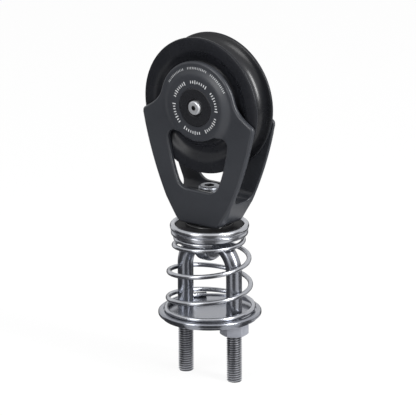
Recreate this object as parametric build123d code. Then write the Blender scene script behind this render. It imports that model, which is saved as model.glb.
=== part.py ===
from build123d import *
import os
from math import cos, hypot, radians, sin, tan

# Stand-up block: z is zero at the ends of the two studs, X lies in the plane of the sheave.

# Sheave
sheave_diameter = 72.0
groove_depth = 6.0
groove_radius = 5.6
groove_flank_angle = 15.0
sheave_width = 15.4
rim_width = 14.6
tread_wall = 2.4
dish_depth = 2.8
dish_edge_set_back = 0.9
dish_rim_slope = 0.15
dish_hub_slope = 0.365
hub_land = 2.2
hub_set_back = 0.3
sheave_edge_round = 2.0
wall_round_share = 0.45

# Sheave bearing
axle_radius = 10.2
roller_radius = 2.0
roller_length = 11.0
roller_count = 12
cage_wall = 3.3
cage_side_clearance = 0.8
pocket_clearance = 0.08
running_clearance = 0.05
thrust_ring_inset = 0.6
thrust_ring_width = 3.0
thrust_ring_thickness = 1.5
thrust_ring_clearance = 0.1

# Frame
line_passage = 14.0
cheek_gap = 16.0
cheek_thickness = 2.4
head_radius = 24.0
head_leave_angle = 15.0
shoulder_half_width = 35.4
shoulder_drop = 8.5
shoulder_round = 2.4
waist_half_width = 28.5
waist_share = 0.558
crown_rise = 9.85
crown_height = 13.9
crown_half_width = 14.2
crown_corner_round = 8.0
crown_turned_radius = 15.2
crown_turned_slope = 0.56
crown_turned_drop = 1.0
frame_edge_round = 1.4
slot_edge_round = 0.6
slot_corner_round = 5.0
boss_rise = 1.5
boss_radius = 15.5

# Window in each cheek
window_sill = 5.0
window_drop = 14.8
window_top_half_width = 19.4
window_middle_half_width = 16.8
window_bottom_half_width = 11.4
window_top_round = 4.0
window_bottom_round = 7.0
window_edge_round = 1.0
web_round = 2.0
head_web = 18.2

# Axle caps and screws
cap_bore_clearance = 0.1
cap_thickness = 1.8
cap_stand_out = 0.2
cap_chamfer = 0.3
cap_recess_radius = 4.8
cap_recess_depth = 0.7
axle_screw_radius = 2.0
axle_screw_length = 8.0
axle_screw_head_radius = 3.65
axle_screw_head_height = 1.9
axle_screw_head_round = 0.75
axle_screw_socket = 2.5
axle_screw_socket_depth = 1.2
thread_clearance = 0.05

# U-bolt, nuts and base plate
shank_diameter = 8.25
thread_diameter = 7.8
thread_pitch_diameter = 7.2
stud_spacing = 31.5
stud_chamfer = 1.0
arch_centre = 58.5
plate_bottom = 32.5
plate_radius = 26.9
plate_thickness = 3.4
plate_step_height = 1.2
plate_step_width = 2.0
plate_rim_height = 0.6
plate_rim_width = 2.6
plate_edge_round = 1.2
stud_hole_clearance = 0.3
nut_across_flats = 13.0
nut_height = 6.8
nut_bevel = 0.75
right_nut_turn = 37.0
left_nut_turn = 12.0

# Spring
wire_diameter = 2.5
spring_top_radius = 17.6
spring_base_radius = 22.7
spring_turns = 4.5
closed_turns = 0.85
opening_turns = 0.6
closing_start = 3.05
closing_turns = 1.17
widening_turns = 1.3
flare_start = 2.9
flare_turns = 0.9
closed_gap = 0.1
spring_leg_clearance = 0.15
spring_seat_gap = 0.05
spring_end_bearing = -48.5
points_per_turn = 12
slices_per_point = 20

# Swivel eye and its screw
eye_radius = 11.4
eye_hole_radius = 5.0
eye_width = 8.0
eye_hole_lift = 0.45
eye_edge_round = 2.4
eye_hole_round = 1.4
neck_radius = 9.2
stem_radius = 5.0
bush_wall = 1.5
end_play = 0.1
swivel_screw_radius = 3.0
swivel_screw_length = 13.0
swivel_head_radius = 5.6
swivel_head_height = 4.4
swivel_head_round = 1.2
swivel_socket = 5.0
swivel_socket_depth = 2.8
swivel_washer_radius = 7.4
swivel_washer_thickness = 1.2

# Upper cup and its pad
cup_radius = 20.6
cup_skirt_radius = 20.1
cup_rise = 3.15
cup_height = 6.2
cup_floor = 1.6
cup_wall = 2.4
cup_bead_height = 2.3
cup_line_depth = 0.4
cup_corner_round = 1.2
neck_clearance = 0.4
pad_clearance = 0.1
pad_height = 3.6
pad_boss_radius = 12.5
pad_boss_chamfer = 0.7

# Derived places
sheave_radius = sheave_diameter / 2
tread_radius = sheave_radius - groove_depth
cheek_inner = cheek_gap / 2
cheek_outer = cheek_inner + cheek_thickness
boss_face = cheek_outer + boss_rise
roller_circle = axle_radius + running_clearance + roller_radius
sheave_bore = roller_circle + roller_radius + running_clearance
thrust_ring_inner = sheave_bore + thrust_ring_inset
thrust_ring_outer = thrust_ring_inner + thrust_ring_width
hub_recess_radius = thrust_ring_outer + thrust_ring_clearance
hub_radius = hub_recess_radius + hub_land
dish_outer_radius = tread_radius - tread_wall
dish_width = dish_outer_radius - hub_radius
thrust_ring_face = cheek_inner - thrust_ring_clearance
hub_face = sheave_width / 2 - hub_set_back
ring_seat = thrust_ring_face - thrust_ring_thickness
cap_face = boss_face + cap_stand_out
axle_end = cap_face - cap_thickness
shank_radius = shank_diameter / 2
stud_place = stud_spacing / 2
plate_top = plate_bottom + plate_thickness
bar_height = arch_centre + stud_place
eye_centre = bar_height + eye_hole_lift
cup_bottom = bar_height + cup_rise
crown_bottom = bar_height + crown_rise
crown_floor = crown_bottom + crown_height
axle_height = crown_floor + line_passage + sheave_radius
side_top_height = axle_height - shoulder_drop
waist_height = crown_bottom + waist_share * (side_top_height - crown_bottom)
window_top = axle_height - window_drop
window_bottom = crown_floor + window_sill
window_middle = (window_top + window_bottom) / 2
window_reach = hypot(window_top_half_width, window_middle - window_bottom)
pad_top = crown_bottom - end_play
stem_top = crown_floor + end_play
cup_inner_radius = cup_radius - (cup_radius - cup_skirt_radius) - cup_wall
axle_centre = Pos(0, 0, axle_height)
touching = 0.01

os.makedirs("parts", exist_ok=True)


def save(solid, node):
    solid.label = node
    export_step(solid, f"parts/{node}.step")


def across(face, inner, outer):
    """A face drawn in X and Z, made solid from Y = inner to Y = outer."""
    solid = extrude(Plane.XZ * face, amount=inner - outer)
    return Pos(0, inner, 0) * solid


def about_axle(face):
    """A face drawn with X as the radius and Y along the axle, turned round the axle."""
    return axle_centre * revolve(face, Axis.Y)


def about_stem(face):
    """A face drawn with X as the radius and Z upwards, turned round the upright axis."""
    return revolve(Plane.XZ * face, Axis.Z)


def back_and_front(solid):
    """The solid, and its like on the other side of the sheave."""
    return solid, mirror(solid, Plane.XZ)


def hexagon(across_flats):
    return RegularPolygon(across_flats / 2, 6, major_radius=False)


# Sheave: turned from bar, with a round groove, crowned sides and a dished web
def sheave_half():
    flank = radians(groove_flank_angle)
    arc_centre = tread_radius + groove_radius
    arc_end = (arc_centre - groove_radius * sin(flank), groove_radius * cos(flank))
    groove_edge = arc_end[1] + (sheave_radius - arc_end[0]) * tan(flank)
    arc_middle_angle = radians(90 - groove_flank_angle) / 2
    arc_middle = (
        arc_centre - groove_radius * cos(arc_middle_angle),
        groove_radius * sin(arc_middle_angle),
    )
    side = sheave_width / 2
    web = side - dish_depth
    tread = (tread_radius, 0)
    crest_in = (sheave_radius, groove_edge)
    crest_out = (sheave_radius, rim_width / 2)
    dish_edge = (dish_outer_radius, side - dish_edge_set_back)
    side_middle = ((sheave_radius + dish_outer_radius) / 2, side)
    outline = [
        ThreePointArc(tread, arc_middle, arc_end),
        Line(arc_end, crest_in),
        Line(crest_in, crest_out),
        ThreePointArc(crest_out, side_middle, dish_edge),
        Polyline(
            dish_edge,
            (dish_outer_radius - dish_rim_slope * dish_width, web),
            (hub_radius + dish_hub_slope * dish_width, web),
            (hub_radius, hub_face),
            (hub_recess_radius, hub_face),
            (hub_recess_radius, ring_seat),
            (sheave_bore, ring_seat),
            (sheave_bore, 0),
            tread,
        ),
    ]
    face = make_face(outline)
    crest = face.vertices().sort_by_distance((sheave_radius, rim_width / 2))[0:2]
    face = fillet(crest, wall_round_share * (rim_width / 2 - groove_edge))
    rim_foot = face.vertices().sort_by_distance(dish_edge)[0]
    return fillet(rim_foot, sheave_edge_round)


half = sheave_half()
sheave = about_axle(half + mirror(half, Plane.XZ))
save(sheave, "sheave")

# Rollers in their cage, which turns about the axle at its own speed
cage_half_length = cheek_inner - cage_side_clearance
cage_ring = Circle(roller_circle + cage_wall / 2) - Circle(roller_circle - cage_wall / 2)
roller_places = PolarLocations(roller_circle, roller_count)
pockets = [place * Circle(roller_radius + pocket_clearance) for place in roller_places]
rollers = [place * Circle(roller_radius) for place in roller_places]
cage = across(cage_ring, -cage_half_length, cage_half_length)
for pocket in pockets:
    cage -= across(pocket, -roller_length / 2 - pocket_clearance, roller_length / 2 + pocket_clearance)
save(axle_centre * cage, "roller_cage")
roller_solids = [
    axle_centre * across(roller, -roller_length / 2, roller_length / 2) for roller in rollers
]
save(Compound(roller_solids), "bearing_rollers")

# Thrust rings: plastic rings seated in the hub, which run against the cheeks
ring_face = Circle(thrust_ring_outer) - Circle(thrust_ring_inner)
back_ring, front_ring = back_and_front(axle_centre * across(ring_face, ring_seat, thrust_ring_face))
save(back_ring, "back_thrust_ring")
save(front_ring, "front_thrust_ring")

# Axle: a shaft through both cheeks, tapped at both ends
axle = across(Circle(axle_radius) - Circle(axle_screw_radius + thread_clearance), -axle_end, axle_end)
save(axle_centre * axle, "axle")

# Axle caps: discs flush in the bosses, each with a shallow recess for its screw
cap_radius = axle_radius + running_clearance - cap_bore_clearance
cap_outline = Polyline(
    (axle_screw_radius + cap_bore_clearance, axle_end),
    (cap_radius, axle_end),
    (cap_radius, cap_face),
    (cap_recess_radius, cap_face),
    (cap_recess_radius, cap_face - cap_recess_depth),
    (axle_screw_radius + cap_bore_clearance, cap_face - cap_recess_depth),
    close=True,
)
cap_section = make_face(cap_outline)
cap_section = chamfer(cap_section.vertices().group_by(Axis.Y)[-1], cap_chamfer)
back_cap, front_cap = back_and_front(about_axle(cap_section))
save(back_cap, "back_axle_cap")
save(front_cap, "front_axle_cap")

# Axle screws: low round heads with a hexagon socket
head_seat = cap_face - cap_recess_depth
head_top = head_seat + axle_screw_head_height
axle_screw = across(Circle(axle_screw_radius), head_seat - axle_screw_length, head_seat)
head = across(Circle(axle_screw_head_radius), head_seat, head_top)
head = fillet(head.edges().group_by(Axis.Y)[-1], axle_screw_head_round)
head -= across(hexagon(axle_screw_socket), head_top - axle_screw_socket_depth, head_top)
back_screw, front_screw = back_and_front(axle_centre * (axle_screw + head))
save(back_screw, "back_axle_screw")
save(front_screw, "front_axle_screw")


# Frame: one piece of aluminium, two cheeks on a solid crown
def frame_outline():
    leave = radians(head_leave_angle)
    top = (0, axle_height + head_radius)
    arc_middle = radians(45 + head_leave_angle / 2)
    head_middle = (head_radius * cos(arc_middle), axle_height + head_radius * sin(arc_middle))
    head_end = (head_radius * cos(leave), axle_height + head_radius * sin(leave))
    shoulder = (shoulder_half_width, side_top_height + shoulder_round)
    side_top = (shoulder_half_width, side_top_height)
    crown_corner = (crown_half_width, crown_bottom)
    outline = [
        ThreePointArc(top, head_middle, head_end),
        Spline(head_end, shoulder, tangents=[(sin(leave), -cos(leave)), (1.0, -0.62)]),
        Line(shoulder, side_top),
        ThreePointArc(side_top, (waist_half_width, waist_height), crown_corner),
        Polyline(crown_corner, (0, crown_bottom), top),
    ]
    face = make_face(outline)
    corner = face.vertices().sort_by_distance((crown_half_width, crown_bottom))[0]
    face = fillet(corner, crown_corner_round)
    tip = face.vertices().sort_by_distance(shoulder)[0]
    face = fillet(tip, shoulder_round)
    return face + mirror(face, Plane.YZ)


def window_outline():
    top_corner = (window_top_half_width, window_top)
    bottom_corner = (window_bottom_half_width, window_bottom)
    side_middle = (window_middle_half_width, window_middle)
    right = [
        ThreePointArc(bottom_corner, side_middle, top_corner),
        Polyline(top_corner, (0, window_top), (0, window_bottom), bottom_corner),
    ]
    half_face = make_face(right)
    face = half_face + mirror(half_face, Plane.YZ)
    face = fillet(face.vertices().group_by(Axis.Y)[0], window_bottom_round)
    face = fillet(face.vertices().group_by(Axis.Y)[-1], window_top_round)
    face -= Pos(0, axle_height) * Circle(head_web)
    def on_web(vertex):
        return abs(hypot(vertex.X, vertex.Y - axle_height) - head_web) < touching

    return fillet(face.vertices().filter_by(on_web), web_round)


body = across(frame_outline(), -cheek_outer, cheek_outer)
turned_bottom = crown_bottom - crown_turned_drop
turned_height = 2 * (axle_height - crown_bottom)
turned_outline = Polyline(
    (0, turned_bottom),
    (crown_turned_radius, turned_bottom),
    (crown_turned_radius + crown_turned_slope * turned_height, turned_bottom + turned_height),
    (0, turned_bottom + turned_height),
    close=True,
)
turned_section = make_face(turned_outline)
turned_corner = turned_section.vertices().sort_by_distance((crown_turned_radius, turned_bottom))[0]
body &= about_stem(fillet(turned_corner, crown_corner_round))
rim_edges = [e for e in body.edges() if abs(abs(e.center().Y) - cheek_outer) < touching]
body = fillet(rim_edges, frame_edge_round)
boss_foot = head_radius - frame_edge_round
boss_section = make_face(
    [
        Spline((boss_foot, cheek_outer), (boss_radius, boss_face), tangents=[(-1, 0), (-1, 0)]),
        Polyline(
            (boss_radius, boss_face),
            (0, boss_face),
            (0, cheek_inner),
            (boss_foot, cheek_inner),
            (boss_foot, cheek_outer),
        ),
    ]
)
for boss in back_and_front(about_axle(boss_section)):
    body += boss
slot_height = axle_height + head_radius - crown_floor + frame_edge_round
slot_centre = Pos(0, 0, crown_floor + slot_height / 2)
slot = slot_centre * Box(3 * shoulder_half_width, cheek_gap, slot_height)
slot = fillet(slot.edges().filter_by(Axis.X).group_by(Axis.Z)[0], slot_corner_round)
body -= slot
slot_edges = body.edges().filter_by(Axis.X, reverse=True).filter_by(
    lambda e: abs(e.center().Y) < cheek_inner + touching and e.center().Z > crown_floor - touching
)
body = fillet(slot_edges, slot_edge_round)
window = across(window_outline(), -2 * cheek_outer, 2 * cheek_outer)
body -= window
window_edges = body.edges().filter_by(
    lambda e: abs(e.center().Y) > cheek_outer - touching
    and hypot(e.center().X, e.center().Z - window_middle) < window_reach
)
body = fillet(window_edges, window_edge_round)
body -= axle_centre * across(Circle(axle_radius + running_clearance), -2 * boss_face, 2 * boss_face)
spot_face = Cylinder(swivel_washer_radius + running_clearance, slot_height)
body -= Pos(0, 0, crown_floor + slot_height / 2) * spot_face
bush_radius = stem_radius + running_clearance + bush_wall
bush_bore = Pos(0, 0, crown_bottom + crown_height / 2) * Cylinder(bush_radius, 2 * crown_height)
body -= bush_bore
save(body, "frame")

# Swivel bush: a plain sleeve pressed into the crown
bush = Cylinder(bush_radius, crown_height) - Cylinder(stem_radius + running_clearance, crown_height)
save(Pos(0, 0, crown_bottom + crown_height / 2) * bush, "swivel_bush")

# Swivel eye: a forged ring round the arch, a turned neck and a tapped stem
ring = Plane.YZ.offset(-eye_width / 2) * Circle(eye_radius)
ring = Pos(0, 0, eye_centre) * extrude(ring, amount=eye_width)
ring = fillet(ring.edges().filter_by(GeomType.CIRCLE), eye_edge_round)
shoulder_height = cup_bottom - end_play
above = Pos(0, 0, shoulder_height + eye_radius) * Box(4 * eye_radius, 4 * eye_radius, 2 * eye_radius)
ring -= above
neck_height = pad_top - shoulder_height
neck = Pos(0, 0, shoulder_height + neck_height / 2) * Cylinder(neck_radius, neck_height)
stem_height = stem_top - pad_top
stem = Pos(0, 0, pad_top + stem_height / 2) * Cylinder(stem_radius, stem_height)
mouth_radius = eye_hole_radius + eye_hole_round
mouth_start = eye_width / 2 - eye_hole_round
mouth_middle = (
    mouth_start + eye_hole_round * sin(radians(45)),
    mouth_radius - eye_hole_round * cos(radians(45)),
)
mouth = make_face(
    [
        Polyline((eye_width / 2, mouth_radius), (2 * neck_radius, mouth_radius), (2 * neck_radius, 0)),
        Line((2 * neck_radius, 0), (0, 0)),
        Polyline((0, 0), (0, eye_hole_radius), (mouth_start, eye_hole_radius)),
        ThreePointArc((mouth_start, eye_hole_radius), mouth_middle, (eye_width / 2, mouth_radius)),
    ]
)
eye_hole = revolve(mouth + mirror(mouth, Plane.YZ), Axis.X)
tapping = Cylinder(swivel_screw_radius + thread_clearance, 2 * swivel_screw_length)
eye = ring + neck + stem - Pos(0, 0, eye_centre) * eye_hole
eye -= Pos(0, 0, stem_top) * tapping
save(eye, "swivel_eye")

# Swivel washer and screw: they hold the crown down on the stem
washer = Circle(swivel_washer_radius) - Circle(swivel_screw_radius + running_clearance)
save(Pos(0, 0, stem_top) * extrude(washer, amount=swivel_washer_thickness), "swivel_washer")
swivel_seat = stem_top + swivel_washer_thickness
swivel_shank = Pos(0, 0, swivel_seat) * extrude(Circle(swivel_screw_radius), amount=-swivel_screw_length)
swivel_head = extrude(Circle(swivel_head_radius), amount=swivel_head_height)
swivel_head = fillet(swivel_head.edges().group_by(Axis.Z)[-1], swivel_head_round)
socket = Pos(0, 0, swivel_head_height - swivel_socket_depth) * hexagon(swivel_socket)
swivel_head -= extrude(socket, amount=swivel_socket_depth)
save(swivel_shank + Pos(0, 0, swivel_seat) * swivel_head, "swivel_screw")

# Upper cup: turned and polished, a rolled bead above a plain skirt
cup_top = cup_bottom + cup_height
bead_bottom = cup_top - cup_bead_height
cup_bore = neck_radius + neck_clearance
cup_outline = Polyline(
    (cup_bore, cup_bottom),
    (cup_skirt_radius, cup_bottom),
    (cup_skirt_radius, bead_bottom - cup_line_depth),
    (cup_skirt_radius - cup_line_depth, bead_bottom),
    (cup_radius, bead_bottom),
    (cup_radius, cup_top),
    (cup_inner_radius, cup_top),
    (cup_inner_radius, cup_bottom + cup_floor),
    (cup_bore, cup_bottom + cup_floor),
    close=True,
)
cup_section = make_face(cup_outline)
cup_lip = cup_section.vertices().group_by(Axis.Y)[-1]
cup_section = fillet(cup_lip, wall_round_share * (cup_radius - cup_inner_radius))
cup_foot = cup_section.vertices().sort_by_distance((cup_skirt_radius, cup_bottom))[0]
cup_section = fillet(cup_foot, cup_corner_round)
save(about_stem(cup_section), "upper_cup")

# Cup pad: black plastic, its raised middle runs under the crown
pad_bottom = cup_bottom + cup_floor
pad_outline = Polyline(
    (cup_bore, pad_bottom),
    (cup_inner_radius - pad_clearance, pad_bottom),
    (cup_inner_radius - pad_clearance, pad_bottom + pad_height),
    (pad_boss_radius + pad_boss_chamfer, pad_bottom + pad_height),
    (pad_boss_radius, pad_top),
    (cup_bore, pad_top),
    close=True,
)
save(about_stem(make_face(pad_outline)), "cup_pad")


# Spring: round wire, closed turn at the top, wide open middle, dead turn on the plate
def ramp(value):
    value = min(max(value, 0.0), 1.0)
    return value * value * (3 - 2 * value)


def spring_points():
    top = cup_bottom - spring_seat_gap - wire_diameter / 2
    bottom = plate_top + spring_seat_gap + wire_diameter / 2
    closed_pitch = wire_diameter + closed_gap
    end_drop = closed_pitch * (closed_turns + opening_turns / 2)
    open_length = closing_start - closed_turns - opening_turns / 2 + closing_turns / 2
    open_pitch = (top - bottom - end_drop) / open_length
    waist = stud_place + shank_radius + spring_leg_clearance + wire_diameter / 2
    steps = round(spring_turns * points_per_turn)
    height = top
    points = []
    for step in range(steps * slices_per_point + 1):
        turn = step / (points_per_turn * slices_per_point)
        opening = ramp((turn - closed_turns) / opening_turns)
        closing = ramp((turn - closing_start) / closing_turns)
        pitch = closed_pitch + (open_pitch - closed_pitch) * opening
        pitch = pitch * (1 - closing)
        widening = ramp((turn - closed_turns) / widening_turns)
        flare = ramp((turn - flare_start) / flare_turns)
        radius = spring_top_radius + (waist - spring_top_radius) * widening
        radius += (spring_base_radius - waist) * flare
        if step % slices_per_point == 0:
            angle = radians(spring_end_bearing - 360 * turn)
            points.append((radius * cos(angle), radius * sin(angle), height))
        height -= pitch / (points_per_turn * slices_per_point)
    return points


wire_path = Spline(spring_points())
wire_start = Plane(origin=wire_path @ 0, z_dir=wire_path % 0)
spring = sweep(wire_start * Circle(wire_diameter / 2), path=wire_path)
save(spring, "spring")

# Base plate: a turned disc with a low rim round the spring and a step below
plate_outline = Polyline(
    (0, plate_bottom),
    (plate_radius - plate_step_width, plate_bottom),
    (plate_radius - plate_step_width, plate_bottom + plate_step_height),
    (plate_radius, plate_bottom + plate_step_height),
    (plate_radius, plate_top + plate_rim_height),
    (plate_radius - plate_rim_width, plate_top + plate_rim_height),
    (plate_radius - plate_rim_width, plate_top),
    (0, plate_top),
    close=True,
)
plate_section = make_face(plate_outline)
outer = plate_section.vertices().group_by(Axis.X)[-1]
plate_section = fillet(outer, plate_edge_round)
plate = about_stem(plate_section)
stud_places = [Pos(-stud_place, 0, 0), Pos(stud_place, 0, 0)]
for place in stud_places:
    hole = Pos(0, 0, plate_bottom) * Cylinder(shank_radius + stud_hole_clearance, 4 * plate_thickness)
    plate -= place * hole
save(plate, "base_plate")

# U-bolt: one bent bar, its legs threaded from the plate down
left_leg = Line((-stud_place, 0, plate_bottom), (-stud_place, 0, arch_centre))
arch = ThreePointArc((-stud_place, 0, arch_centre), (0, 0, bar_height), (stud_place, 0, arch_centre))
right_leg = Line((stud_place, 0, arch_centre), (stud_place, 0, plate_bottom))
bar_start = Plane(origin=(-stud_place, 0, plate_bottom), z_dir=(0, 0, 1))
u_bolt = sweep(bar_start * Circle(shank_radius), path=Wire([left_leg, arch, right_leg]))

# The thread has its crest diameter where it is free, and its pitch diameter inside a nut
nut_seat = plate_bottom - nut_height
stud = extrude(Circle(thread_diameter / 2), amount=nut_seat)
stud = chamfer(stud.edges().group_by(Axis.Z)[0], stud_chamfer)
stud += Pos(0, 0, nut_seat) * extrude(Circle(thread_pitch_diameter / 2), amount=nut_height)
for place in stud_places:
    u_bolt += place * stud
save(u_bolt, "u_bolt")

# Nuts: plain hexagon nuts, bevelled at the corners, tight under the plate
nut = extrude(hexagon(nut_across_flats), amount=nut_height)
nut_corner = nut_across_flats / 2 / cos(radians(30))
nut_blank = extrude(Circle(nut_corner), amount=nut_height)
nut_blank = chamfer(nut_blank.edges().filter_by(GeomType.CIRCLE), nut_bevel / 2, nut_bevel)
nut = nut & nut_blank
nut -= Cylinder(thread_pitch_diameter / 2 + thread_clearance, 4 * nut_height)
nut_turns = (left_nut_turn, right_nut_turn)
for node, place, turn in zip(("left_nut", "right_nut"), stud_places, nut_turns):
    save(place * Pos(0, 0, nut_seat) * Rot(0, 0, turn) * nut, node)
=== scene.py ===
import math

import bpy
from mathutils import Matrix, Vector


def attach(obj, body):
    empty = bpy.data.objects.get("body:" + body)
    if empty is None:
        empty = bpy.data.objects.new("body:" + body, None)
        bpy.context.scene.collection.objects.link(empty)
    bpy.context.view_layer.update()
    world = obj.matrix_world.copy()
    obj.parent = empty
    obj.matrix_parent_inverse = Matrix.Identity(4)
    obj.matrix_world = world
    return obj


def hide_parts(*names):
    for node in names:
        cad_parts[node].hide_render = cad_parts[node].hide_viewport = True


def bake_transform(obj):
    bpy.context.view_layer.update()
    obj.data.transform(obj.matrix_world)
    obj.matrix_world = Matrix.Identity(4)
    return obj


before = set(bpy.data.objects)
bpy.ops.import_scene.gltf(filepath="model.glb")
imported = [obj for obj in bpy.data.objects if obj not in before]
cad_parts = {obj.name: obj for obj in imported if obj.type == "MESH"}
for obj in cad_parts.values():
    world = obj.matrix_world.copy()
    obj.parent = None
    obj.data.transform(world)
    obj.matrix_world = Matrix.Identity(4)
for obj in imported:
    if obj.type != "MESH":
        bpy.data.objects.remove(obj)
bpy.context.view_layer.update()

bpy.context.scene.view_settings.view_transform = "Standard"


# Camera: a long lens to the right of the block's front and a little above it, so that
# the studs and the cheeks stand nearly upright in the picture.
camera_azimuth, camera_elevation, camera_roll = 37.0, 17.0, -0.28
camera_distance, view_width, film_width = 3.0, 0.2155, 36.0
view_centre = Vector((-0.00058, -0.00044, 0.0912))
azimuth, elevation = math.radians(camera_azimuth), math.radians(camera_elevation)
towards_camera = Vector(
    (math.sin(azimuth) * math.cos(elevation), -math.cos(azimuth) * math.cos(elevation), math.sin(elevation))
)
lens = bpy.data.cameras.new("camera")
lens.sensor_width = film_width
lens.lens = film_width * camera_distance / view_width
lens.clip_end = 30.0
camera = bpy.data.objects.new("camera", lens)
bpy.context.scene.collection.objects.link(camera)
camera.location = view_centre + camera_distance * towards_camera
aim = (-towards_camera).to_track_quat("-Z", "Y").to_matrix()
camera.rotation_euler = (aim @ Matrix.Rotation(math.radians(camera_roll), 3, "Z")).to_euler()
bpy.context.scene.camera = camera


# Floor and room: a wide pale floor whose own colour is white to the eye and in the steel,
# with the block's soft shadow left on it, inside a plain white room.
def new_material(name):
    material = bpy.data.materials.new(name)
    material.use_nodes = True
    nodes, links = material.node_tree.nodes, material.node_tree.links
    return material, nodes, links, nodes["Principled BSDF"]


def rays(nodes, links, *kinds):
    """1 for a ray of any of the kinds, and 0 for all others."""
    path = nodes.new("ShaderNodeLightPath")
    value = path.outputs[kinds[0]]
    for kind in kinds[1:]:
        either = nodes.new("ShaderNodeMath")
        either.operation = "MAXIMUM"
        links.new(value, either.inputs[0])
        links.new(path.outputs[kind], either.inputs[1])
        value = either.outputs[0]
    return value


floor_radius, floor_shade, floor_glow, room_strength = 9.0, 0.93, 0.92, 0.5
bpy.ops.mesh.primitive_circle_add(vertices=96, radius=floor_radius, fill_type="NGON")
floor = bpy.context.object
floor.name = "floor"
material, nodes, links, shader = new_material("pale_floor")
shader.inputs["Base Color"].default_value = (floor_shade, floor_shade, floor_shade, 1)
shader.inputs["Roughness"].default_value = 0.9
shader.inputs["Specular IOR Level"].default_value = 0.0
glow = nodes.new("ShaderNodeEmission")
glow.inputs["Strength"].default_value = 1.0
share = nodes.new("ShaderNodeMath")
share.operation = "MULTIPLY"
share.inputs[1].default_value = floor_glow
links.new(rays(nodes, links, "Is Camera Ray", "Is Glossy Ray"), share.inputs[0])
mix = nodes.new("ShaderNodeMixShader")
links.new(share.outputs[0], mix.inputs[0])
links.new(shader.outputs[0], mix.inputs[1])
links.new(glow.outputs[0], mix.inputs[2])
links.new(mix.outputs[0], nodes["Material Output"].inputs["Surface"])
floor.data.materials.append(material)

world = bpy.data.worlds.new("white_room")
world.use_nodes = True
bpy.context.scene.world = world
nodes, links = world.node_tree.nodes, world.node_tree.links
nodes.clear()
room = nodes.new("ShaderNodeBackground")
room.inputs["Strength"].default_value = room_strength
white = nodes.new("ShaderNodeBackground")
white.inputs["Color"].default_value = (1, 1, 1, 1)
white.inputs["Strength"].default_value = 1.0
mix = nodes.new("ShaderNodeMixShader")
out = nodes.new("ShaderNodeOutputWorld")
links.new(rays(nodes, links, "Is Camera Ray", "Is Transmission Ray", "Is Glossy Ray"), mix.inputs[0])
links.new(room.outputs[0], mix.inputs[1])
links.new(white.outputs[0], mix.inputs[2])
links.new(mix.outputs[0], out.inputs["Surface"])


# Lamps and cards: two upright soft boxes beside the camera and a broad one overhead. Dark cards
# lie on the floor round the block, where only its reflections show them. They put the dark
# stripes and edges into the steel, and the gaps between them put in the bright ones.
def bearing_vector(bearing, rise=0.0):
    """The way to a place, by its bearing to the right of the camera and its rise, in degrees."""
    turn, lift = math.radians(camera_azimuth + bearing), math.radians(rise)
    return Vector((math.sin(turn) * math.cos(lift), -math.cos(turn) * math.cos(lift), math.sin(lift)))


lamp_aim, lamp_height = Vector((0, 0, 0.09)), 1.1


def soft_lamp(name, bearing, rise, distance, width, height, power, shines=True):
    """A soft box that faces the block. One that doesn't shine is missing from reflections."""
    lamp = bpy.data.lights.new(name, "AREA")
    lamp.shape = "RECTANGLE"
    lamp.size, lamp.size_y, lamp.energy = width, height, power
    holder = bpy.data.objects.new(name, lamp)
    bpy.context.scene.collection.objects.link(holder)
    away = bearing_vector(bearing, rise)
    holder.location = lamp_aim + distance * away
    holder.rotation_euler = away.to_track_quat("Z", "Y").to_euler()
    holder.visible_camera = False
    holder.visible_glossy = shines


soft_lamp("right_lamp", bearing=51, rise=25, distance=1.2, width=0.28, height=lamp_height, power=21.0)
soft_lamp("left_lamp", bearing=-45, rise=28, distance=1.2, width=0.40, height=lamp_height, power=7.0)
soft_lamp("top_lamp", bearing=20, rise=75, distance=1.3, width=1.0, height=1.0, power=7.0, shines=False)

paper_shade, card_lift, card_steps = 0.07, 0.0008, 12
dark_paper, nodes, links, shader = new_material("dark_paper")
shader.inputs["Base Color"].default_value = (paper_shade, paper_shade, 1.05 * paper_shade, 1)
shader.inputs["Roughness"].default_value = 1.0
shader.inputs["Specular IOR Level"].default_value = 0.0


def fresh(name):
    """The object that was just added, given its name."""
    made = bpy.context.object
    made.name = name
    return made


def drawn_line(name, points):
    """A line of edges through the points: a plane merged to one corner, which is pulled along."""
    bpy.ops.object.select_all(action="DESELECT")
    bpy.ops.mesh.primitive_plane_add(size=0.001, location=(0, 0, 0))
    line = fresh(name)
    bpy.ops.object.mode_set(mode="EDIT")
    bpy.ops.mesh.select_mode(type="VERT")
    bpy.ops.mesh.select_all(action="SELECT")
    bpy.ops.mesh.merge(type="CENTER")
    bpy.ops.transform.translate(value=points[0])
    for here, there in zip(points, points[1:]):
        bpy.ops.mesh.extrude_region_move(TRANSFORM_OT_translate={"value": Vector(there) - Vector(here)})
    bpy.ops.mesh.select_all(action="SELECT")
    bpy.ops.object.mode_set(mode="OBJECT")
    return line


def card(name, material, start, end, near, far, top):
    """A card that lies between two bearings from near to far, and stands up to top at its far edge."""
    way = bearing_vector(start)
    lift = Vector((0, 0, card_lift))
    holder = drawn_line(name, [near * way + lift, far * way + lift, far * way + Vector((0, 0, top))])
    bpy.ops.object.mode_set(mode="EDIT")
    sweep = -math.radians(end - start)
    bpy.ops.mesh.spin(steps=card_steps, angle=sweep, center=(0, 0, 0), axis=(0, 0, 1))
    bpy.ops.object.mode_set(mode="OBJECT")
    holder.data.materials.append(material)
    holder.visible_camera = False
    holder.visible_diffuse = False
    holder.visible_shadow = False


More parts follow.
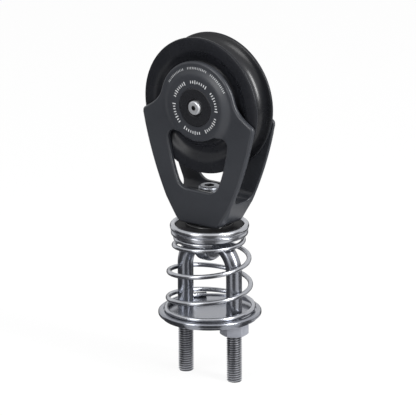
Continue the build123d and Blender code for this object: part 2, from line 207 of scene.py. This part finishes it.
for name, start, end, near, far, top in (
    ("camera_side_card", -22, 24, 0.022, 0.9, 0.35),
    ("left_side_card", -118, -52, 0.022, 0.9, 0.25),
    ("left_far_card", -146, -119, 0.022, 0.30, 0.002),
    ("right_front_card", 25, 65, 0.42, 0.9, 0.25),
    ("right_side_card", 66, 96, 0.022, 0.9, 0.25),
    ("right_far_card", 97, 139, 0.022, 0.055, 0.002),
    ("right_outer_card", 97, 139, 0.125, 0.28, 0.002),
    ("far_side_card", 140, 213, 0.022, 0.9, 0.12),
):
    card(name, dark_paper, start, end, near, far, top)


# U-bolt: one stainless bar bent to an arch, with cut threads on both legs from the plate down.
# The bar is drawn round from one end, and each thread is a V profile wound down its leg.
def object_noise(nodes, links, scale, detail=3.0):
    place = nodes.new("ShaderNodeTexCoord")
    noise = nodes.new("ShaderNodeTexNoise")
    noise.inputs["Scale"].default_value = scale
    noise.inputs["Detail"].default_value = detail
    links.new(place.outputs["Object"], noise.inputs["Vector"])
    return noise.outputs["Fac"]


def about_axis(nodes, links, axis, centre, both_sides=False):
    """The distance from an axis, and the place along it. Both sides folds the object at X zero."""
    place = nodes.new("ShaderNodeTexCoord")
    start = place.outputs["Object"]
    if both_sides:
        fold = nodes.new("ShaderNodeVectorMath")
        fold.operation = "ABSOLUTE"
        links.new(start, fold.inputs[0])
        start = fold.outputs[0]
    shift = nodes.new("ShaderNodeVectorMath")
    shift.operation = "SUBTRACT"
    shift.inputs[1].default_value = centre
    links.new(start, shift.inputs[0])
    flat = nodes.new("ShaderNodeVectorMath")
    flat.operation = "MULTIPLY"
    flat.inputs[1].default_value = (1, 0, 1) if axis == "Y" else (1, 1, 0)
    links.new(shift.outputs[0], flat.inputs[0])
    reach = nodes.new("ShaderNodeVectorMath")
    reach.operation = "LENGTH"
    links.new(flat.outputs[0], reach.inputs[0])
    parts = nodes.new("ShaderNodeSeparateXYZ")
    links.new(shift.outputs[0], parts.inputs[0])
    return reach.outputs["Value"], parts.outputs[axis]


def turned_noise(nodes, links, axis, centre, pitch):
    """Fine rings about an axis: noise read along the distance from it and along the axis."""
    reach, along = about_axis(nodes, links, axis, centre)
    rings = nodes.new("ShaderNodeCombineXYZ")
    links.new(reach, rings.inputs["X"])
    links.new(along, rings.inputs["Y"])
    noise = nodes.new("ShaderNodeTexNoise")
    noise.inputs["Scale"].default_value = 1 / pitch
    noise.inputs["Detail"].default_value = 2.0
    links.new(rings.outputs[0], noise.inputs["Vector"])
    return noise.outputs["Fac"]


def painted_shade_share(nodes, links, axis, centre, both_sides, inner, outer, level=None):
    """The share of painted shade in a hollow: 1 nearer to the axis than inner, 0 beyond outer, and 0 past
    the level along the axis.
    """
    reach, along = about_axis(nodes, links, axis, centre, both_sides)
    span = nodes.new("ShaderNodeMapRange")
    span.inputs["From Min"].default_value = inner
    span.inputs["From Max"].default_value = outer
    span.inputs["To Min"].default_value = 1.0
    span.inputs["To Max"].default_value = 0.0
    links.new(reach, span.inputs["Value"])
    if level is None:
        return span.outputs[0]
    below = nodes.new("ShaderNodeMath")
    below.operation = "LESS_THAN"
    below.inputs[1].default_value = level
    size = nodes.new("ShaderNodeMath")
    size.operation = "ABSOLUTE"
    links.new(along, size.inputs[0])
    links.new(size.outputs[0], below.inputs[0])
    both = nodes.new("ShaderNodeMath")
    both.operation = "MULTIPLY"
    links.new(span.outputs[0], both.inputs[0])
    links.new(below.outputs[0], both.inputs[1])
    return both.outputs[0]


def spread(nodes, links, value, low, high):
    """A noise value, which seldom leaves 0.3 to 0.7, spread from low to high."""
    span = nodes.new("ShaderNodeMapRange")
    span.inputs["From Min"].default_value = 0.3
    span.inputs["From Max"].default_value = 0.7
    span.inputs["To Min"].default_value = low
    span.inputs["To Max"].default_value = high
    links.new(value, span.inputs["Value"])
    return span.outputs[0]


def blend_of(nodes, links, share, first, second):
    """A colour between two, which are colours or other nodes' outputs."""
    tint = nodes.new("ShaderNodeMix")
    tint.data_type = "RGBA"
    for socket, colour in (("A", first), ("B", second)):
        if isinstance(colour, tuple):
            tint.inputs[socket].default_value = (*colour, 1)
        else:
            links.new(colour, tint.inputs[socket])
    links.new(share, tint.inputs["Factor"])
    return tint.outputs["Result"]


def finish_of(
    name, dark, light, metallic, rough, patch, grain_depth, grain=0.0004, turned=None, specular=0.5,
    hollow=None, painted_shade_colour=(0.02, 0.02, 0.022),
):
    """A finish whose colour and gloss drift in patches, with a fine grain or turning lines.
    A hollow is a place about an axis, such as a screw's socket or a thread's root, whose colour is painted
    darker as painted shade."""
    material, nodes, links, shader = new_material(name)
    shader.inputs["Metallic"].default_value = metallic
    shader.inputs["Specular IOR Level"].default_value = specular
    patches = object_noise(nodes, links, 1 / patch)
    colour = blend_of(nodes, links, spread(nodes, links, patches, 0, 1), dark, light)
    # Painted shade: a hollow's colour is blended towards a dark one.
    if hollow:
        colour = blend_of(nodes, links, painted_shade_share(nodes, links, *hollow), colour, painted_shade_colour)
    links.new(colour, shader.inputs["Base Color"])
    links.new(spread(nodes, links, patches, *rough), shader.inputs["Roughness"])
    if turned:
        height = turned_noise(nodes, links, *turned)
    else:
        height = object_noise(nodes, links, 1 / grain, 2.0)
    bump = nodes.new("ShaderNodeBump")
    bump.inputs["Strength"].default_value = 1.0
    bump.inputs["Distance"].default_value = grain_depth
    links.new(height, bump.inputs["Height"])
    links.new(bump.outputs[0], shader.inputs["Normal"])
    return material


def apply_all(piece):
    """All the piece's modifiers applied, in their order."""
    bpy.ops.object.select_all(action="DESELECT")
    bpy.context.view_layer.objects.active = piece
    piece.select_set(True)
    for modifier in list(piece.modifiers):
        bpy.ops.object.modifier_apply(modifier=modifier.name)


def clean_shell(piece, angle=30, nearest=0.000002):
    """Doubles merged, faces turned outwards, and edges flatter than the angle shaded smooth."""
    bpy.ops.object.select_all(action="DESELECT")
    bpy.context.view_layer.objects.active = piece
    piece.select_set(True)
    bpy.ops.object.mode_set(mode="EDIT")
    bpy.ops.mesh.select_all(action="SELECT")
    bpy.ops.mesh.remove_doubles(threshold=nearest)
    bpy.ops.mesh.normals_make_consistent(inside=False)
    bpy.ops.object.mode_set(mode="OBJECT")
    bpy.ops.object.shade_smooth_by_angle(angle=math.radians(angle))


stud_place, shank_radius, plate_bottom, arch_centre = 0.01575, 0.004125, 0.0325, 0.0585
thread_pitch, crest_radius, root_radius = 0.00125, 0.0040, 0.0034
thread_top, stud_chamfer = 0.0335, 0.0004
bar_steps, arch_steps, thread_steps, thread_turns = 40, 56, 36, 31
bar_steel = finish_of(
    "bar_stainless", (0.23, 0.24, 0.27), (0.27, 0.28, 0.31),
    metallic=1.0, rough=(0.22, 0.30), patch=0.02, grain_depth=0.0000005,
)
# The threads' roots are painted darker than their crests: painted shade in the grooves.
thread_steel = finish_of(
    "thread_stainless", (0.46, 0.47, 0.50), (0.52, 0.53, 0.56),
    metallic=1.0, rough=(0.30, 0.36), patch=0.004, grain_depth=0.000001,
    hollow=("Z", (stud_place, 0, 0), True, root_radius, 0.96 * crest_radius),
    painted_shade_colour=(0.11, 0.11, 0.12),
)

bpy.ops.mesh.primitive_circle_add(
    vertices=bar_steps, radius=shank_radius, fill_type="NGON", location=(0, 0, 0)
)
u_bolt = fresh("u_bolt_bar")
u_bolt.data.transform(Matrix.Translation((-stud_place, 0, plate_bottom)))
bpy.ops.object.mode_set(mode="EDIT")
bpy.ops.mesh.select_all(action="SELECT")
bpy.ops.mesh.extrude_region_move(TRANSFORM_OT_translate={"value": (0, 0, arch_centre - plate_bottom)})
bpy.ops.mesh.spin(steps=arch_steps, angle=-math.pi, center=(0, 0, arch_centre), axis=(0, 1, 0))
bpy.ops.mesh.extrude_region_move(TRANSFORM_OT_translate={"value": (0, 0, plate_bottom - arch_centre)})
bpy.ops.object.mode_set(mode="OBJECT")
clean_shell(u_bolt)

# The threads are cut a thousand times as large, where a thin sliver of metal is still crisp.
# Each is wound too long and cut off by two planes, then chamfered at its foot by a round cutter
# that stands clear of the crest by a fifth of its radius.
enlarged = 1000.0
pitch, crest, root, end_chamfer = (
    enlarged * size for size in (thread_pitch, crest_radius, root_radius, stud_chamfer)
)
studs = []
for side, start_angle in ((-1, 0.0), (1, 70.0)):
    crest_width, root_width = pitch / 8, pitch / 4
    flank_width = (pitch - crest_width - root_width) / 2
    heights = (0, crest_width, crest_width + flank_width, pitch - flank_width, pitch)
    radii = (crest, crest, root, root, crest)
    stud = drawn_line("stud_thread", [(reach, 0, up - 2 * pitch) for reach, up in zip(radii, heights)])
    stud.data.transform(Matrix.Rotation(math.radians(start_angle), 4, "Z"))
    winding = stud.modifiers.new("winding", "SCREW")
    winding.axis = "Z"
    winding.angle = 2 * math.pi
    winding.screw_offset = pitch
    winding.iterations = thread_turns
    winding.steps = winding.render_steps = thread_steps
    winding.use_merge_vertices = True
    winding.merge_threshold = 0.001
    apply_all(stud)
    bpy.ops.object.mode_set(mode="EDIT")
    for height, keep in ((-pitch / 2, 1), (enlarged * thread_top, -1)):
        bpy.ops.mesh.select_all(action="SELECT")
        bpy.ops.mesh.remove_doubles(threshold=0.0005)
        bpy.ops.mesh.bisect(plane_co=(0, 0, height), plane_no=(0, 0, keep), use_fill=True, clear_inner=True)
    bpy.ops.object.mode_set(mode="OBJECT")
    bpy.ops.mesh.primitive_cylinder_add(
        vertices=2 * thread_steps, radius=1.2 * crest, depth=2 * enlarged * thread_top
    )
    cutter = fresh("stud_end_cutter")
    cutter.data.transform(Matrix.Translation((0, 0, enlarged * thread_top)))
    bpy.ops.object.mode_set(mode="EDIT")
    bpy.ops.mesh.select_mode(type="EDGE")
    bpy.ops.mesh.select_all(action="DESELECT")
    bpy.ops.object.mode_set(mode="OBJECT")
    for edge in cutter.data.edges:
        edge.select = all(abs(cutter.data.vertices[v].co.z) < 0.001 for v in edge.vertices)
    bpy.ops.object.mode_set(mode="EDIT")
    bpy.ops.mesh.bevel(offset=0.2 * crest + end_chamfer, segments=1)
    bpy.ops.object.mode_set(mode="OBJECT")
    ending = stud.modifiers.new("ending", "BOOLEAN")
    ending.operation = "INTERSECT"
    ending.solver = "EXACT"
    ending.object = cutter
    apply_all(stud)
    bpy.data.objects.remove(cutter)
    stud.data.transform(Matrix.Translation((side * stud_place, 0, 0)) @ Matrix.Scale(1 / enlarged, 4))
    clean_shell(stud, nearest=0.0000002)
    stud.data.materials.clear()
    stud.data.materials.append(thread_steel)
    studs.append(stud)

u_bolt.data.materials.clear()
u_bolt.data.materials.append(bar_steel)
bpy.ops.object.select_all(action="DESELECT")
for piece in (u_bolt, *studs):
    piece.select_set(True)
bpy.context.view_layer.objects.active = u_bolt
bpy.ops.object.join()
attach(u_bolt, "deck_base")
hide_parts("u_bolt")


# Nuts: plain stainless hexagon nuts, bevelled at the corners, with a satin finish from the
# tumbling barrel. One on each stud is screwed up tight under the plate.
nut_steel = finish_of(
    "nut_stainless", (0.28, 0.29, 0.33), (0.33, 0.34, 0.38),
    metallic=0.55, rough=(0.42, 0.5), patch=0.004, grain_depth=0.000002,
)
for node in ("left_nut", "right_nut"):
    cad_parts[node].material_slots[0].material = nut_steel


# Base plate: a stainless disc turned on the lathe and polished, with a hole for each stud. A low
# rim goes round the spring's foot, and the nuts bear on the flat step below.
plate_steel = finish_of(
    "plate_stainless", (0.25, 0.26, 0.29), (0.29, 0.30, 0.335),
    metallic=1.0, rough=(0.18, 0.26), patch=0.015, grain_depth=0.0000006,
    turned=("Z", (0, 0, 0), 0.0003),
)
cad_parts["base_plate"].material_slots[0].material = plate_steel


# Spring: polished stainless wire wound on a stepped mandrel. The top turn is closed on itself,
# the middle opens out, and the last turn lies dead on the plate; both ends are cut square.
def ramp(value):
    """A soft step from 0 to 1 as the value goes from 0 to 1."""
    value = min(max(value, 0.0), 1.0)
    return value * value * (3 - 2 * value)


wire, cup_bottom, plate_floor, seat_gap, turn_gap = 0.0025, 0.0774, 0.0359, 0.00005, 0.0001
top_turn_radius, foot_turn_radius, bar_clearance = 0.0176, 0.0227, 0.00015


def spring_path():
    """Points down the wire's middle. Stretches along it are in turns from its top end."""
    turns, per_turn, every, start_angle = 4.5, 240, 3, -48.5
    top, bottom = cup_bottom - seat_gap - wire / 2, plate_floor + seat_gap + wire / 2
    closed, opening, closing_start, closing = 0.85, 0.6, 3.05, 1.17
    narrowing, widening_start, widening = 1.3, 2.9, 0.9
    closed_pitch = wire + turn_gap
    end_drop = closed_pitch * (closed + opening / 2)
    open_pitch = (top - bottom - end_drop) / (closing_start - closed - opening / 2 + closing / 2)
    waist = stud_place + shank_radius + bar_clearance + wire / 2
    height, points = top, []
    for step in range(int(turns * per_turn) + 1):
        turn = step / per_turn
        pitch = closed_pitch + (open_pitch - closed_pitch) * ramp((turn - closed) / opening)
        pitch *= 1 - ramp((turn - closing_start) / closing)
        radius = top_turn_radius + (waist - top_turn_radius) * ramp((turn - closed) / narrowing)
        radius += (foot_turn_radius - waist) * ramp((turn - widening_start) / widening)
        angle = math.radians(start_angle) - 2 * math.pi * turn
        if step % every == 0:
            points.append((radius * math.cos(angle), radius * math.sin(angle), height))
        height -= pitch / per_turn
    return points


spring_wire = finish_of(
    "spring_wire", (0.36, 0.37, 0.40), (0.42, 0.43, 0.46),
    metallic=1.0, rough=(0.20, 0.28), patch=0.008, grain_depth=0.0000005,
)
bpy.ops.curve.primitive_bezier_curve_add(location=(0, 0, 0))
spring = fresh("spring_wire_coil")
spring.data.splines.clear()
coil = spring.data.splines.new("POLY")
points = spring_path()
coil.points.add(len(points) - 1)
for place, point in zip(coil.points, points):
    place.co = (*point, 1)
spring.data.bevel_depth = wire / 2
spring.data.bevel_resolution = 5
spring.data.use_fill_caps = True
bpy.ops.object.select_all(action="DESELECT")
spring.select_set(True)
bpy.context.view_layer.objects.active = spring
bpy.ops.object.convert(target="MESH")
spring = bpy.context.object
clean_shell(spring, 40)
spring.data.materials.clear()
spring.data.materials.append(spring_wire)
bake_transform(spring)
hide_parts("spring")


# Upper cup: turned from stainless bar and mirror polished. A rolled bead stands above a narrow
# line and a plain skirt, and the spring's closed turn bears under its floor.
def arc(centre, radii, start, end, steps):
    """Points of a round or oval arc between two angles in degrees."""
    turns = [math.radians(start + (end - start) * step / steps) for step in range(steps + 1)]
    return [(centre[0] + radii[0] * math.cos(turn), centre[1] + radii[1] * math.sin(turn)) for turn in turns]


def turned_piece(name, points, steps, centre=(0, 0, 0), axis=(0, 0, 1)):
    """A closed section spun about an axis, with its doubles merged and its faces turned outwards."""
    piece = drawn_line(name, [*points, points[0]])
    bpy.ops.object.mode_set(mode="EDIT")
    bpy.ops.mesh.spin(steps=steps, angle=2 * math.pi, center=centre, axis=axis)
    bpy.ops.object.mode_set(mode="OBJECT")
    clean_shell(piece)
    return piece


def dress(piece, body, material):
    """The piece rides on a body, and its one material slot holds the finish."""
    piece.data.materials.clear()
    piece.data.materials.append(material)
    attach(piece, body)


cup_floor, cup_bore, cup_inner, skirt_outer = 0.0790, 0.00960, 0.0177, 0.0201
skirt_top, line_depth, line_top, bead_foot = 0.0796, 0.0005, 0.0801, 0.0820
bead_centre, bead_radii = (0.01915, 0.0819), (0.00145, 0.0017)
foot_round, turned_steps = 0.0010, 144
cup_section = [(cup_bore, cup_bottom)]
cup_section += arc((skirt_outer - foot_round, cup_bottom + foot_round), (foot_round, foot_round), -90, 0, 6)
cup_section += [(skirt_outer, skirt_top), (skirt_outer - 0.0001, skirt_top + 0.0003)]
cup_section += [(skirt_outer - line_depth, line_top)]
cup_section += arc(bead_centre, bead_radii, -62, 170, 24)
cup_section += [(cup_inner, bead_foot), (cup_inner, cup_floor), (cup_bore, cup_floor)]
cup_steel = finish_of(
    "cup_stainless", (0.38, 0.39, 0.42), (0.43, 0.44, 0.47),
    metallic=1.0, rough=(0.20, 0.26), patch=0.015, grain_depth=0.0000004,
    turned=("Z", (0, 0, 0), 0.0003),
)
cup = turned_piece("turned_cup", [(reach, 0, height) for reach, height in cup_section], turned_steps)
dress(cup, "swivel_head", cup_steel)
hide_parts("upper_cup")


# Cup pad and swivel bush: black acetal, turned, with a low sheen. The pad's raised middle carries
# the crown, which rubs its edge bright, and the bush lines the crown's bore.
pad_outer, pad_flat, pad_top, middle_radius, edge_round = 0.0176, 0.0826, 0.0840, 0.0124, 0.0004
corner_reach, corner_rise = 0.0001, 0.0002
pad_section = [(cup_bore, cup_floor), (pad_outer, cup_floor)]
pad_section += arc((pad_outer - edge_round, pad_flat - edge_round), (edge_round, edge_round), 0, 90, 4)
pad_section += [(middle_radius + edge_round, pad_flat)]
pad_section += [(middle_radius + corner_reach, pad_flat + corner_rise)]
pad_section += arc((middle_radius - edge_round, pad_top - edge_round), (edge_round, edge_round), 0, 90, 6)
pad_section += [(cup_bore, pad_top)]
acetal = finish_of(
    "black_acetal", (0.012, 0.012, 0.013), (0.016, 0.016, 0.017),
    metallic=0.0, rough=(0.34, 0.42), patch=0.004, grain_depth=0.000002,
    turned=("Z", (0, 0, 0), 0.0004), specular=0.02,
)
rubbed_acetal = finish_of(
    "rubbed_acetal", (0.014, 0.014, 0.015), (0.018, 0.018, 0.019),
    metallic=0.0, rough=(0.10, 0.14), patch=0.004, grain_depth=0.0000005,
    turned=("Z", (0, 0, 0), 0.0004), specular=0.5,
)
pad = turned_piece("turned_pad", [(reach, 0, height) for reach, height in pad_section], turned_steps)
dress(pad, "swivel_head", acetal)
pad.data.materials.append(rubbed_acetal)
for face in pad.data.polygons:
    reach = math.hypot(face.center.x, face.center.y)
    on_edge = middle_radius - edge_round < reach < middle_radius + corner_reach
    face.material_index = 1 if on_edge and face.center.z > pad_top - edge_round else 0
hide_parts("cup_pad")
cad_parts["swivel_bush"].material_slots[0].material = acetal


# Swivel eye: forged stainless, its ring polished bright and its neck and stem turned. The ring
# goes round the arch of the U-bolt, and the tapped stem stands up through cup, pad and crown.
eye_steel = finish_of(
    "eye_stainless", (0.36, 0.37, 0.40), (0.42, 0.43, 0.46),
    metallic=1.0, rough=(0.2, 0.28), patch=0.006, grain_depth=0.000002,
)
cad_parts["swivel_eye"].material_slots[0].material = eye_steel


# Swivel screw and washer: a bright socket screw and a plain washer, both stainless. They hold
# the crown down on the eye's stem and leave it free to turn.
swivel_socket, swivel_head_top = 0.0030, 0.1037
# The screw's socket is painted dark on its top: painted shade inside the socket.
swivel_steel = finish_of(
    "swivel_screw_stainless", (0.19, 0.20, 0.22), (0.24, 0.25, 0.27),
    metallic=1.0, rough=(0.34, 0.42), patch=0.003, grain_depth=0.000001,
    hollow=("Z", (0, 0, 0), False, 0.98 * swivel_socket, swivel_socket, swivel_head_top - 0.0002),
    painted_shade_colour=(0.05, 0.05, 0.055),
)
washer_steel = finish_of(
    "washer_stainless", (0.16, 0.165, 0.18), (0.20, 0.205, 0.22),
    metallic=1.0, rough=(0.36, 0.44), patch=0.003, grain_depth=0.000002,
)
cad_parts["swivel_screw"].material_slots[0].material = swivel_steel
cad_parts["swivel_washer"].material_slots[0].material = washer_steel


# Frame: machined from one piece of aluminium and hard anodised to a charcoal satin, which keeps
# the fine grain of the blasting under it.
charcoal = finish_of(
    "charcoal_anodised", (0.0236, 0.0255, 0.0302), (0.0270, 0.0291, 0.0344),
    metallic=0.0, rough=(0.29, 0.35), patch=0.02, grain_depth=0.000002,
    grain=0.0003, specular=0.34,
)
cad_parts["frame"].material_slots[0].material = charcoal


# Sheave: turned from aluminium and black anodised, with the tool's fine rings left in its sides.
# Half of its section is drawn from the groove's floor over the crest, the side's dish and the hub
# to the bore, then mirrored and spun about the axle.
sheave_radius, groove_radius, groove_floor, groove_flank = 0.036, 0.0056, 0.030, 15.0
axle_height, crest_foot, crest_in, crest_out = 0.148, 0.0354, 0.00576, 0.00740
groove_inner, sheave_steps = 0.029, 128
section = arc((groove_floor + groove_radius, 0), (groove_radius, groove_radius), 180, 90 + groove_flank, 12)
crest = (crest_foot, (crest_in + crest_out) / 2)
section += arc(crest, (sheave_radius - crest_foot, (crest_out - crest_in) / 2), -90, 90, 8)
section += [
    (0.0344, 0.00756), (0.0334, 0.00766), (0.0324, 0.00770), (0.0314, 0.00767), (0.0304, 0.00755),
    (0.0295, 0.00732), (0.0287, 0.00696), (0.0280, 0.00650), (0.0273, 0.00600), (0.0266, 0.00555),
    (0.0258, 0.00520), (0.0249, 0.00498), (0.0240, 0.00490), (0.0232, 0.00496), (0.0225, 0.00530),
    (0.0218, 0.00590), (0.0212, 0.00655), (0.0207, 0.00706), (0.0202, 0.00733), (0.0196, 0.00740),
    (0.01835, 0.00740), (0.01805, 0.00737), (0.01800, 0.00710), (0.01800, 0.00642), (0.01797, 0.00640),
    (0.01440, 0.00640), (0.01430, 0.00630), (0.01430, 0.0),
]
section += [(reach, -side) for reach, side in reversed(section[1:-1])]
section = [(reach, side, axle_height) for reach, side in section]
sheave = turned_piece("turned_sheave", section, sheave_steps, (0, 0, axle_height), (0, 1, 0))
rounding = sheave.modifiers.new("rounding", "SUBSURF")
rounding.levels = rounding.render_levels = 1
apply_all(sheave)
clean_shell(sheave, 50)
black_anodised = finish_of(
    "black_anodised", (0.0098, 0.0104, 0.0128), (0.0118, 0.0125, 0.0152),
    metallic=0.0, rough=(0.24, 0.30), patch=0.01, grain_depth=0.000001,
    turned=("Y", (0, 0, axle_height), 0.0004), specular=0.16,
)
# The groove is glossier than the sides from the line's polish, and its colour is darker than theirs: painted
# shade in the groove.
polished_and_shaded_groove = finish_of(
    "polished_and_shaded_groove", (0.0056, 0.0060, 0.0076), (0.0066, 0.0070, 0.0088),
    metallic=0.0, rough=(0.26, 0.31), patch=0.02, grain_depth=0.0000003,
    turned=("Y", (0, 0, axle_height), 0.0006), specular=0.42,
)
dress(sheave, "sheave_wheel", black_anodised)
sheave.data.materials.append(polished_and_shaded_groove)
for face in sheave.data.polygons:
    reach = math.hypot(face.center.x, face.center.z - axle_height)
    in_groove = reach > groove_inner and abs(face.center.y) < crest_in + 0.0001
    face.material_index = 1 if in_groove else 0
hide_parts("sheave")


# Sheave bearing: a ring of plain rollers of pale plastic that run on the axle in a black cage.
# A slippery black thrust ring on either side keeps the sheave off the cheek.
roller_plastic = finish_of(
    "roller_plastic", (0.42, 0.40, 0.35), (0.48, 0.46, 0.41),
    metallic=0.0, rough=(0.3, 0.4), patch=0.002, grain_depth=0.000003,
)
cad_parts["bearing_rollers"].material_slots[0].material = roller_plastic
for node in ("roller_cage", "front_thrust_ring", "back_thrust_ring"):
    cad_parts[node].material_slots[0].material = acetal


# Axle, caps and screws: a bright hollow shaft, a black disc flush in each boss and a bright
# round-head socket screw in its middle.
cap_anodised = finish_of(
    "cap_anodised", (0.0090, 0.0094, 0.0112), (0.0105, 0.0110, 0.0130),
    metallic=0.0, rough=(0.24, 0.28), patch=0.02, grain_depth=0.000001,
    turned=("Y", (0, 0, axle_height), 0.0003), specular=0.5,
)
screw_socket, screw_head_top = 0.00146, 0.0133
# The screws' sockets are painted dark on their heads: painted shade inside the sockets.
axle_screw_steel = finish_of(
    "axle_screw_stainless", (0.46, 0.47, 0.49), (0.54, 0.55, 0.57),
    metallic=0.7, rough=(0.30, 0.36), patch=0.003, grain_depth=0.000001,
    hollow=("Y", (0, 0, axle_height), False, 0.98 * screw_socket, screw_socket, screw_head_top - 0.0001),
)
for node in ("front_axle_cap", "back_axle_cap"):
    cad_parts[node].material_slots[0].material = cap_anodised
for node in ("axle", "front_axle_screw", "back_axle_screw"):
    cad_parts[node].material_slots[0].material = axle_screw_steel


# Scale marks: a light grey ring of strokes round the front cap and an arc of finer ones above it,
# printed on the cheek, each stroke a thin film that follows the boss.
mark_paint = finish_of(
    "mark_paint", (0.44, 0.45, 0.46), (0.50, 0.51, 0.52),
    metallic=0.0, rough=(0.5, 0.6), patch=0.003, grain_depth=0.000002,
)
film, before_cheek = 0.00003, -0.0125
ring_reach, ring_step, long_stroke, short_stroke, ring_stroke_width = 0.0135, 6.0, 0.0020, 0.0014, 0.0005
arc_reach, arc_start, arc_step, arc_stroke, arc_stroke_width = 0.0206, 31.0, 3.0, 0.0011, 0.00026
strokes = []
for index in range(60):
    length = long_stroke if index % 5 == 0 else short_stroke
    if index % 10 < 8:
        strokes.append((ring_step * index, ring_reach, length, ring_stroke_width))
for index in range(42):
    if index % 14 < 12:
        strokes.append((arc_start + arc_step * index, arc_reach, arc_stroke, arc_stroke_width))
bpy.ops.object.select_all(action="DESELECT")
bpy.ops.mesh.primitive_plane_add(size=0.001, location=(0, 0, 0))
marks = fresh("scale_marks")
bpy.ops.object.mode_set(mode="EDIT")
bpy.ops.mesh.select_all(action="SELECT")
bpy.ops.mesh.delete(type="VERT")
for angle, reach, length, width in strokes:
    upright = (0, before_cheek, axle_height + reach)
    bpy.ops.mesh.primitive_plane_add(size=length, location=upright, rotation=(math.pi / 2, 0, 0))
    bpy.ops.transform.resize(value=(width / length, 1, 1), center_override=upright)
    bpy.ops.transform.rotate(
        value=math.radians(angle - 90), orient_axis="Y", center_override=(0, before_cheek, axle_height)
    )
bpy.ops.mesh.select_all(action="SELECT")
bpy.ops.mesh.subdivide(number_cuts=1)
bpy.ops.object.mode_set(mode="OBJECT")
wrap = marks.modifiers.new("wrap", "SHRINKWRAP")
wrap.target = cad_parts["frame"]
wrap.wrap_method = "PROJECT"
wrap.use_project_y = True
wrap.use_positive_direction = True
wrap.use_negative_direction = False
thick = marks.modifiers.new("thick", "SOLIDIFY")
thick.thickness = film
thick.offset = 0.0
apply_all(marks)
clean_shell(marks)
dress(marks, "block", mark_paint)
